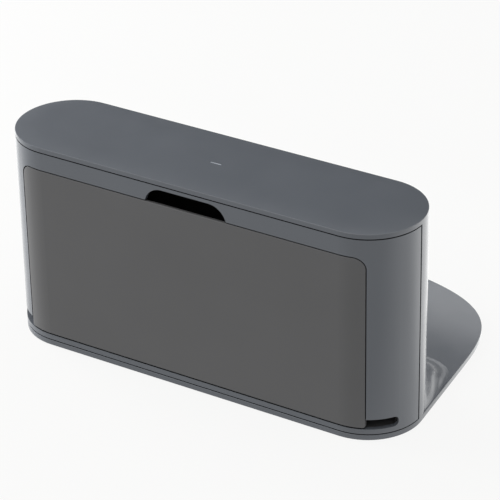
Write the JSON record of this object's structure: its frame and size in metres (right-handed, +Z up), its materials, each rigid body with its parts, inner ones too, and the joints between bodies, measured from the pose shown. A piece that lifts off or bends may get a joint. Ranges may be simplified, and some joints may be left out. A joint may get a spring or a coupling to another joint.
{
  "type": "cable tray",
  "caption": "Upright rounded desktop cable box on a broad flat foot, with a drop-down front door, a finger notch and cable slots at both lower corners.",
  "frame": {"origin": "centre of the housing's plan on the desk surface", "axes": "+X along the housing, +Y from the door towards the broad foot, +Z up"},
  "size_m": [0.3, 0.2047, 0.1513],
  "materials": {
    "frame_slate": "fine satin moulded plastic, slate grey",
    "shell_slate": "fine satin moulded plastic, slate grey",
    "door_grey": "satin moulded plastic, neutral dark grey",
    "tray_black": "matt black moulded plastic",
    "mark_grey": "smooth pale grey insert",
    "steel": "plain stamped steel",
    "plate_steel": "black coated steel sheet",
    "screw_steel": "zinc plated",
    "magnet_nickel": "nickel plated",
    "rubber_black": "soft black rubber",
    "pad_rubber": "thin plain rubber sheet"
  },
  "bodies": {
    "base_unit": {"outer_frame": "frame_slate", "front_shell": "shell_slate", "cable_tray": "tray_black", "tray_lid": "tray_black", "top_mark": "mark_grey", "hinge_bracket_left": "steel", "hinge_bracket_right": "steel", "hinge_screws": "screw_steel", "catch_magnet_left": "magnet_nickel", "catch_magnet_right": "magnet_nickel", "door_bumpers": "rubber_black", "slot_grommet_left": "rubber_black", "slot_grommet_right": "rubber_black", "tray_screws": "screw_steel", "shell_screws": "screw_steel", "base_plate": "plate_steel", "base_screws": "screw_steel", "base_pad": "pad_rubber"},
    "cover": {"door_panel": "door_grey", "hinge_pin_left": "steel", "hinge_pin_right": "steel", "strike_plate_left": "steel", "strike_plate_right": "steel"}
  },
  "joints": [
    {"name": "cover_hinge", "type": "hinge", "parent": "base_unit", "child": "cover", "pos_m": [0, -0.03455, 0.0172], "axis": [1, 0, 0], "range_deg": [0, 90]}
  ]
}
